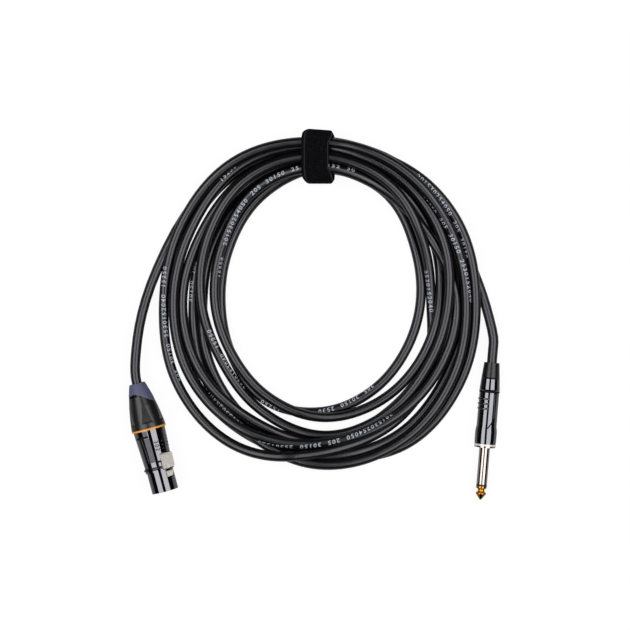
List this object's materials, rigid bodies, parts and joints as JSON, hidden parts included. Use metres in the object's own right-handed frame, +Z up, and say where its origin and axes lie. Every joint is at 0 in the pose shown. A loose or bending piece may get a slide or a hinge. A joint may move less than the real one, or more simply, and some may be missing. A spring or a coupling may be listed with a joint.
{
  "type": "coiled microphone cable",
  "caption": "Coiled audio cable with a latching XLR socket connector at one end and a quarter-inch jack plug at the other, held in a loop by a hook-and-loop strap.",
  "frame": {"origin": "centre of the box of the connectors and the strap, on the surface the cable lies on", "axes": "+Z up out of the coil, +Y from the coil's centre towards the tie strap, connectors' tips towards -Y"},
  "size_m": [0.2234, 0.2228, 0.0207],
  "materials": {
    "cable_jacket": "semi-matte black cable jacket",
    "strap_fabric": "matte black hook-and-loop fabric",
    "black_shell": "glossy black plated metal",
    "black_plastic": "matte black plastic",
    "contact_gold": "gold-plated contacts",
    "nickel": "bright nickel plate",
    "spring_steel": "spring steel",
    "white_plastic": "natural white plastic",
    "orange_ring": "orange coding ring",
    "boot_plastic": "matte black plastic grip",
    "slate_rubber": "slate grey soft rubber",
    "boot_rubber": "dark grey rubber",
    "gold_tip": "gold-plated tip",
    "red_wire": "red wire insulation",
    "white_wire": "white wire insulation",
    "screen_wire": "twisted bare copper screen"
  },
  "bodies": {
    "cable": {"cable_coil": "cable_jacket", "xlr_tail": "cable_jacket", "jack_tail": "cable_jacket", "xlr_jacket_end": "cable_jacket", "jack_jacket_end": "cable_jacket", "tie_strap": "strap_fabric", "xlr_shell": "black_shell", "xlr_insert": "black_plastic", "contact_1": "contact_gold", "contact_2": "contact_gold", "contact_3": "contact_gold", "ground_strip": "nickel", "latch_pin": "spring_steel", "latch_spring": "spring_steel", "xlr_chuck": "white_plastic", "xlr_red_wire": "red_wire", "xlr_white_wire": "white_wire", "xlr_screen_wire": "screen_wire", "jack_sleeve": "nickel", "tip_insulator": "black_plastic", "jack_tip": "gold_tip", "rear_washer": "black_plastic", "tip_lug": "nickel", "cable_clamp": "nickel", "jack_red_wire": "red_wire", "jack_screen_wire": "screen_wire"},
    "latch": {"xlr_latch": "nickel"},
    "coding_ring": {"coding_ring": "orange_ring"},
    "xlr_boot": {"xlr_bushing": "boot_plastic", "xlr_end_sleeve": "slate_rubber"},
    "jack_boot": {"jack_boot": "boot_rubber"},
    "jack_barrel": {"jack_barrel": "black_shell", "jack_collar": "black_shell"}
  },
  "joints": [
    {"name": "latch_press", "type": "hinge", "parent": "cable", "child": "latch", "pos_m": [-0.09139, -0.08158, 0.01395], "axis": [0.6215, 0.1642, -0.766], "range_deg": [0, 4.5], "stiffness_Nm_per_rad": 0.4},
    {"name": "xlr_boot_travel", "type": "slide", "parent": "cable", "child": "coding_ring", "axis": [-0.2554, 0.9668, 0], "range_m": [0, 0.006]},
    {"name": "xlr_boot_unscrew", "type": "hinge", "parent": "coding_ring", "child": "xlr_boot", "pos_m": [-0.10139, -0.06054, 0.01035], "axis": [-0.2554, 0.9668, 0], "range_deg": [0, 1440]},
    {"name": "jack_barrel_travel", "type": "slide", "parent": "cable", "child": "jack_boot", "axis": [0.0842, 0.9964, 0], "range_m": [0, 0.008]},
    {"name": "jack_barrel_unscrew", "type": "hinge", "parent": "jack_boot", "child": "jack_barrel", "pos_m": [0.10387, -0.05879, 0.0065], "axis": [0.0842, 0.9964, 0], "range_deg": [0, 2880]}
  ],
  "couplings": [
    {"joint": "xlr_boot_unscrew", "follows": "xlr_boot_travel", "rad_per_m": 4188.8},
    {"joint": "jack_barrel_unscrew", "follows": "jack_barrel_travel", "rad_per_m": 6283.2}
  ]
}
